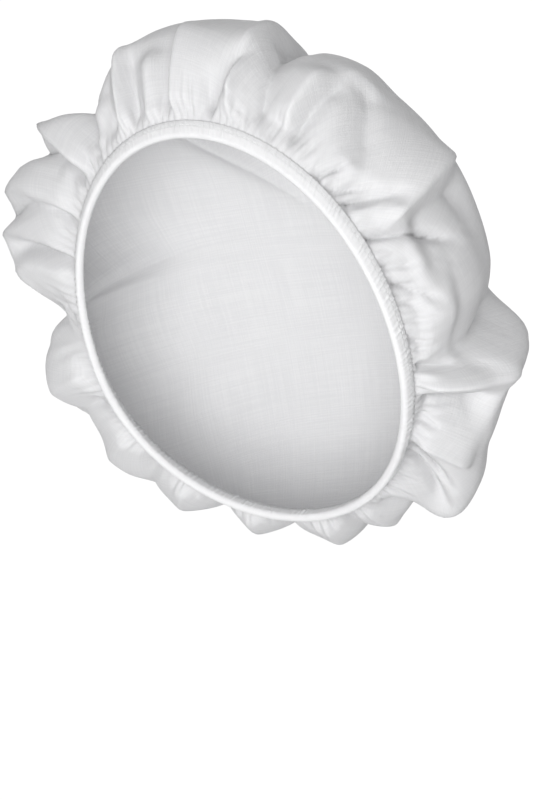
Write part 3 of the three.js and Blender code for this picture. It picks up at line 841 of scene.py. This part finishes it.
hem_angles = np.arange(HEM_COLUMNS) * 360 / HEM_COLUMNS
hem = closed_tube("hem_cloth", hem_section(hem_angles), 2 * math.pi * CUT_RADIUS)
print("hem:", len(hem.data.vertices), "points, puckers every", round(HEM_GIRTH / PUCKERS / MM, 1), "mm")

# %% [markdown]
# ## Stitches
# One row of white lockstitch holds the folded edge, and shows as a line of small dashes.
# Only the top of each stitch is seen, so each is one short length of thread, tapered where
# it dips into the cloth. Real shapes catch the light and cast a shadow, as a bump wouldn't.

# %% Mesh of the stitches
STITCHES = 196
STITCH_LENGTH = 1.9 * MM
STITCH_RADIUS = 0.17 * MM
STITCH_SIDES = 6
STITCH_STANDS = 0.1 * MM
STITCH_SINKS = 0.12 * MM
STITCH_PROFILE = [(0.0, 0.25), (0.12, 0.8), (0.5, 1.0), (0.88, 0.8), (1.0, 0.25)]


def stitch_row():
    """Short rounded lengths of thread along the hem's outer face."""
    points = []
    faces = []
    sides = STITCH_SIDES
    half = 180 * STITCH_LENGTH / (math.pi * SPREAD_RADIUS)
    for index in range(STITCHES):
        middle = 360 * (index + 0.5) / STITCHES
        first = len(points)
        for share, size in STITCH_PROFILE:
            angle = np.array([middle + half * (2 * share - 1)])
            sink = STITCH_SINKS * (2 * share - 1) ** 2
            off = hem_off(STITCH_LINE) + STITCH_STANDS - sink
            centre = hem_place(angle, STITCH_LINE, off)[0]
            out = hem_place(angle, STITCH_LINE, off + MM)[0] - centre
            side = hem_place(angle, STITCH_LINE + MM, off)[0] - centre
            for k in range(sides):
                turn_angle = 2 * math.pi * k / sides
                way = (out * math.cos(turn_angle) + side * math.sin(turn_angle)) / MM
                points.append(centre + way * STITCH_RADIUS * size)
        for ring in range(len(STITCH_PROFILE) - 1):
            for k in range(sides):
                here = first + ring * sides
                after = (k + 1) % sides
                faces.append([here + k, here + after, here + sides + after, here + sides + k])
        faces.append([first + k for k in reversed(range(sides))])
        faces.append([first + (len(STITCH_PROFILE) - 1) * sides + k for k in range(sides)])
    return new_piece("hem_stitches", points, faces)


stitches = stitch_row()
print("stitches:", STITCHES, "every", round(HEM_GIRTH / STITCHES / MM, 1), "mm")

# %% [markdown]
# ## Shader maths
# A material is a graph of nodes, and long sums are hard to read as a list of nodes and
# links. So each socket is wrapped, and plain arithmetic adds Math nodes. Everything else
# comes from one method, which takes a node's type, its settings and its sockets' values.

# %% Wrapped sockets


class Signal:
    """One output of a node, which can be added, taken away and multiplied."""

    def __init__(self, finish, socket):
        self.finish = finish
        self.socket = socket

    def maths(self, operation, first, second):
        return self.finish.node("ShaderNodeMath", {"operation": operation}, {0: first, 1: second})

    def __add__(self, other):
        return self.maths("ADD", self, other)

    def __radd__(self, other):
        return self.maths("ADD", other, self)

    def __sub__(self, other):
        return self.maths("SUBTRACT", self, other)

    def __rsub__(self, other):
        return self.maths("SUBTRACT", other, self)

    def __mul__(self, other):
        return self.maths("MULTIPLY", self, other)

    def __rmul__(self, other):
        return self.maths("MULTIPLY", other, self)


class Finish:
    """The look of a material, or of the world, under construction."""

    def __init__(self, owner):
        self.owner = owner
        owner.use_nodes = True
        self.tree = owner.node_tree
        self.tree.nodes.clear()

    def node(self, kind, settings=None, sockets=None, output=0):
        """Adds a node: its settings first, then its sockets, and returns one output."""
        made = self.tree.nodes.new(kind)
        for name, value in (settings or {}).items():
            setattr(made, name, value)
        for name, value in (sockets or {}).items():
            if isinstance(value, Signal):
                self.tree.links.new(value.socket, made.inputs[name])
            else:
                made.inputs[name].default_value = value
        return Signal(self, made.outputs[output]) if made.outputs else made

    def mix(self, factor, first, second):
        """One colour going over into another."""
        wanted = {0: factor, 6: first, 7: second}
        return self.node("ShaderNodeMix", {"data_type": "RGBA"}, wanted, 2)

    def close(self, surface, kind="ShaderNodeOutputMaterial"):
        """Gives the finished look to the surface."""
        self.node(kind, {}, {"Surface": surface})
        return self.owner


print("reflected forms:", [name for name in vars(Signal) if name.startswith("__r")])

# %% [markdown]
# ## Plain-woven cotton
# Percale is one thread over, one under, about 3 threads to the millimetre. From where the
# photo was taken single threads can't be seen, but the uneven ones can: spinning leaves
# slubs, thicker places a few centimetres long that run straight along the grain. The UV
# map is the flat round in metres, so weave and slubs follow the cloth through every fold.

# %% Weave and slubs
THREADS = 2900
FULL_TURN = 6.28
WEAVE = THREADS * FULL_TURN
SLUBS_ALONG = 22
SLUBS_ACROSS = 1500
SLUBS_FROM = 0.42
SLUBS_TO = 0.62


def weave_and_slubs(cloth, grain):
    """The height of the single threads, and where the thick places lie."""
    u = cloth.node("ShaderNodeSeparateXYZ", {}, {0: grain}, 0)
    v = cloth.node("ShaderNodeSeparateXYZ", {}, {0: grain}, 1)

    def streaks(along, across, seed):
        stretched = cloth.node("ShaderNodeCombineXYZ", {}, {0: u * along, 1: v * across, 2: seed})
        noise = {"Vector": stretched, "Scale": 1.0, "Detail": 2.0, "Roughness": 0.55}
        return cloth.node("ShaderNodeTexNoise", {}, noise)

    warp = streaks(SLUBS_ALONG, SLUBS_ACROSS, 3.0)
    weft = streaks(SLUBS_ACROSS, SLUBS_ALONG, 8.0)
    thick = {0: (warp + weft) * 0.5, 1: SLUBS_FROM, 2: SLUBS_TO, 3: 0, 4: 1}
    slubs = cloth.node("ShaderNodeMapRange", {}, thick)
    thread_u = cloth.node("ShaderNodeMath", {"operation": "SINE"}, {0: u * WEAVE})
    thread_v = cloth.node("ShaderNodeMath", {"operation": "SINE"}, {0: v * WEAVE})
    return thread_u * thread_v, slubs


print("threads to the millimetre:", round(THREADS * MM, 1))

# %% [markdown]
# ## The finished cotton
# Washed cotton is matt, never quite even in tone, and softly crumpled between its folds, so
# two noises in the bump give a loose crumple and sharper faint creases. The cloth is thin:
# light comes through from the far side, which keeps its shadows pale, so a Translucent
# shader is mixed in. The hem is four layers thick and drawn up, and looks whiter.

# %% Cotton cloth
CLOTH_WHITE = (0.845, 0.845, 0.85, 1)
CLOTH_SHADE = (0.78, 0.78, 0.79, 1)
HEM_WHITE = (0.96, 0.96, 0.965, 1)
HEM_SHADE = (0.92, 0.92, 0.93, 1)
LIGHT_THROUGH = (0.88, 0.88, 0.885, 1)
THROUGH_SHARE = 0.3
WEAVE_DEPTH = 0.05
SLUB_DEPTH = 0.12
CRUMPLE_DEPTH = 0.9
CRUMPLE_SCALE = 90.0
CREASE_DEPTH = 0.85
CREASE_SCALE = 38.0
PATCH_SCALE = 16.0
ROUGH_PLAIN = 0.95
ROUGH_SLUBS = 0.84


def cotton(name, tint, shade):
    """Matt white cotton: weave, slubs, faint creasing, and light passing through."""
    cloth = Finish(bpy.data.materials.new(name))
    grain = cloth.node("ShaderNodeUVMap", {"uv_map": "grain"})
    weave, slubs = weave_and_slubs(cloth, grain)
    crumple = cloth.node(
        "ShaderNodeTexNoise",
        {},
        {"Vector": grain, "Scale": CRUMPLE_SCALE, "Detail": 5.0, "Roughness": 0.6, "Distortion": 0.4},
    )
    crease = cloth.node(
        "ShaderNodeTexNoise",
        {"noise_type": "RIDGED_MULTIFRACTAL", "normalize": True},
        {"Vector": grain, "Scale": CREASE_SCALE, "Detail": 3.0, "Roughness": 0.5, "Distortion": 0.6},
    )
    blotches = {"Vector": grain, "Scale": PATCH_SCALE, "Detail": 3.0}
    patch = cloth.node("ShaderNodeTexNoise", {}, blotches)
    uneven = {0: patch * 0.5 + slubs * 0.5, 1: 0.25, 2: 0.75, 3: 0, 4: 1}
    colour = cloth.mix(cloth.node("ShaderNodeMapRange", {}, uneven), shade, tint)
    threads = weave * WEAVE_DEPTH + slubs * SLUB_DEPTH
    height = threads + crumple * CRUMPLE_DEPTH + crease * CREASE_DEPTH
    bump = cloth.node("ShaderNodeBump", {}, {"Strength": 0.6, "Distance": MM, "Height": height})
    rough = {0: slubs, 1: 0, 2: 1, 3: ROUGH_PLAIN, 4: ROUGH_SLUBS}
    front = cloth.node(
        "ShaderNodeBsdfPrincipled",
        {},
        {
            "Base Color": colour,
            "Roughness": cloth.node("ShaderNodeMapRange", {}, rough),
            "Specular IOR Level": 0.25,
            "Sheen Weight": 0.12,
            "Sheen Roughness": 0.5,
            "Normal": bump,
        },
    )
    through = cloth.node("ShaderNodeBsdfTranslucent", {}, {"Color": LIGHT_THROUGH})
    return cloth.close(cloth.node("ShaderNodeMixShader", {}, {0: THROUGH_SHARE, 1: front, 2: through}))


crown.data.materials.append(cotton("crown_cotton", CLOTH_WHITE, CLOTH_SHADE))
hem.data.materials.append(cotton("hem_cotton", HEM_WHITE, HEM_SHADE))
print("cotton:", [piece.active_material.name for piece in (crown, hem)])

# %% [markdown]
# ## Thread and elastic
# Sewing thread is twisted, smoother and a little brighter than the cloth. The elastic is a
# ribbed white tape. It stays the packed solid, since the hem hides it. One Wave texture
# each gives the twist and the ribs, both too fine to be worth modelling. The same wave makes
# the colour darker in their grooves: painted shade.

# %% Thread and elastic


def thread_finish():
    thread = Finish(bpy.data.materials.new("sewing_thread"))
    spot = thread.node("ShaderNodeTexCoord", {}, {}, 3)
    wave = {"Vector": spot, "Scale": 900.0, "Distortion": 1.0, "Detail": 1.0}
    twist = thread.node("ShaderNodeTexWave", {"bands_direction": "DIAGONAL"}, wave, 1)
    # The twist's wave also sets the colour: darker in its grooves, lighter on its ridges. The darker
    # grooves are painted shade.
    colour = thread.mix(twist, (0.8, 0.81, 0.82, 1), (0.9, 0.9, 0.9, 1))
    bump = thread.node("ShaderNodeBump", {}, {"Strength": 0.5, "Distance": 0.0002, "Height": twist})
    look = {"Base Color": colour, "Roughness": 0.6, "Sheen Weight": 0.2, "Normal": bump}
    return thread.close(thread.node("ShaderNodeBsdfPrincipled", {}, look))


def elastic_finish():
    tape = Finish(bpy.data.materials.new("elastic_tape"))
    spot = tape.node("ShaderNodeTexCoord", {}, {}, 3)
    rib = tape.node("ShaderNodeTexWave", {}, {"Vector": spot, "Scale": 400.0, "Distortion": 0.5}, 1)
    # The ribs' wave also sets the colour: darker between the ribs, lighter on them. The darker grooves
    # are painted shade.
    colour = tape.mix(rib, (0.7, 0.7, 0.7, 1), (0.82, 0.82, 0.82, 1))
    bump = tape.node("ShaderNodeBump", {}, {"Strength": 0.6, "Distance": 0.0004, "Height": rib})
    look = {"Base Color": colour, "Roughness": 0.7, "Normal": bump}
    return tape.close(tape.node("ShaderNodeBsdfPrincipled", {}, look))


stitches.data.materials.append(thread_finish())
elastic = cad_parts["elastic"]
elastic.data.materials.clear()
elastic.data.materials.append(elastic_finish())
print("elastic stays the packed solid:", elastic.name)

# %% [markdown]
# ## The pieces on the frame
# The made cloth replaces the packed crown and casing, and rides on the one body there is.

# %% Pieces and the frame
for piece, slot in ((crown, "cloth"), (hem, "hem_cloth"), (stitches, "hem_cloth")):
    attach(piece, "root")
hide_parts("crown")
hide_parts("hem_casing")

# %% [markdown]
# ## Camera
# The photo looks up at the cap from its front left, a little below it, and is turned
# slightly. The camera stands well back, since a near one would make the front bulge. Its aim
# puts the middle of the hem's opening where the photo has it.

# %% Camera
PHOTO_WIDTH, PHOTO_HEIGHT = 533, 800
OPENING_PIXEL = (240, 352)
PIXELS_PER_METRE = 2380
VIEW_AZIMUTH = math.radians(29.3)
VIEW_ELEVATION = math.radians(-15)
VIEW_ROLL = math.radians(-5.2)
CAMERA_DISTANCE = 1.6
SENSOR = 36
CLIP_END = 30

back = Vector(
    (
        math.sin(VIEW_AZIMUTH) * math.cos(VIEW_ELEVATION),
        -math.cos(VIEW_AZIMUTH) * math.cos(VIEW_ELEVATION),
        math.sin(VIEW_ELEVATION),
    )
)
level = Vector((math.cos(VIEW_AZIMUTH), math.sin(VIEW_AZIMUTH), 0))
upright = back.cross(level)
right = level * math.cos(VIEW_ROLL) - upright * math.sin(VIEW_ROLL)
up = level * math.sin(VIEW_ROLL) + upright * math.cos(VIEW_ROLL)
shift_right = (PHOTO_WIDTH / 2 - OPENING_PIXEL[0]) / PIXELS_PER_METRE
shift_up = (OPENING_PIXEL[1] - PHOTO_HEIGHT / 2) / PIXELS_PER_METRE
eye = back * CAMERA_DISTANCE + right * shift_right + up * shift_up
camera_data = bpy.data.cameras.new("camera")
camera_data.sensor_fit = "VERTICAL"
camera_data.sensor_height = SENSOR
camera_data.lens = PIXELS_PER_METRE * CAMERA_DISTANCE / PHOTO_HEIGHT * SENSOR
camera_data.clip_end = CLIP_END
camera = bpy.data.objects.new("camera", camera_data)
bpy.context.scene.collection.objects.link(camera)
axes = Matrix((right, up, back)).transposed().to_4x4()
camera.matrix_world = Matrix.Translation(eye) @ axes
bpy.context.scene.camera = camera
print("lens:", round(camera_data.lens), "mm, camera at height", round(eye.z, 2), "m")

# %% [markdown]
# ## Lamps
# One large soft light stands near the camera, a little lower and to its left, so cloth that
# looks forward and down is brightest and the top is greyer. A weaker one stands behind and
# above, so the back and the top get some light as well.

# %% Lamps
LAMP_SIZE = 1.0
KEY_PLACE = back * 1.6 - right * 0.25 - up * 0.3
KEY_WATTS = 29
REAR_PLACE = up * 1.2 - back * 1.4
REAR_WATTS = 9


def lamp(name, lamp_place, watts):
    """A soft square light that shines at the middle of the opening."""
    data = bpy.data.lights.new(name, "AREA")
    data.energy = watts
    data.size = LAMP_SIZE
    light = bpy.data.objects.new(name, data)
    bpy.context.scene.collection.objects.link(light)
    light.location = lamp_place
    light.rotation_mode = "QUATERNION"
    light.rotation_quaternion = lamp_place.to_track_quat("Z", "Y")


lamp("key_lamp", KEY_PLACE, KEY_WATTS)
lamp("rear_lamp", REAR_PLACE, REAR_WATTS)
print("key lamp", round(KEY_PLACE.length, 2), "m away, rear lamp", round(REAR_PLACE.length, 2), "m")

# %% [markdown]
# ## Backdrop
# The background is white and even, as in the photo. If it lit the cap as strongly as it
# shows, it would fill every fold with light. So the world asks whether a ray comes from the
# camera: such a ray sees white, and all others get about half of that. The view transform is
# Standard, because Blender's usual one greys white cloth and flattens its faint shading.

# %% Backdrop
BACKDROP_SHOWN = 1.05
BACKDROP_LIGHT = 0.5

bpy.context.scene.view_settings.view_transform = "Standard"
world = bpy.data.worlds.new("studio")
bpy.context.scene.world = world
studio = Finish(world)
seen = studio.node("ShaderNodeLightPath")
strength = seen * (BACKDROP_SHOWN - BACKDROP_LIGHT) + BACKDROP_LIGHT
backdrop = studio.node("ShaderNodeBackground", {}, {"Color": (1, 1, 1, 1), "Strength": strength})
studio.close(backdrop, "ShaderNodeOutputWorld")
print("backdrop shows", BACKDROP_SHOWN, "and lights", BACKDROP_LIGHT)

# %% [markdown]
# ## Floor
# The camera looks up from below the cap, so the floor has to lie lower still. It only shows
# from other sides, as a plain pale sheet with a faint unevenness.

# %% Floor
FLOOR_LEVEL = -1.3
FLOOR_SIZE = 8
PAPER_SHADE = (0.82, 0.82, 0.82, 1)
PAPER_LIGHT = (0.86, 0.86, 0.86, 1)

half = FLOOR_SIZE / 2
corners = [(-half, -half), (half, -half), (half, half), (-half, half)]
floor_mesh = bpy.data.meshes.new("studio_floor")
floor_mesh.from_pydata([(x, y, FLOOR_LEVEL) for x, y in corners], [], [[0, 1, 2, 3]])
floor = bpy.data.objects.new("studio_floor", floor_mesh)
bpy.context.scene.collection.objects.link(floor)
paper = Finish(bpy.data.materials.new("floor_paper"))
tone = paper.node("ShaderNodeTexNoise", {}, {"Scale": 3.0, "Detail": 2.0})
look = {"Base Color": paper.mix(tone, PAPER_SHADE, PAPER_LIGHT), "Roughness": 0.9}
floor_mesh.materials.append(paper.close(paper.node("ShaderNodeBsdfPrincipled", {}, look)))
print("floor:", FLOOR_SIZE, "m across, at height", FLOOR_LEVEL, "m")
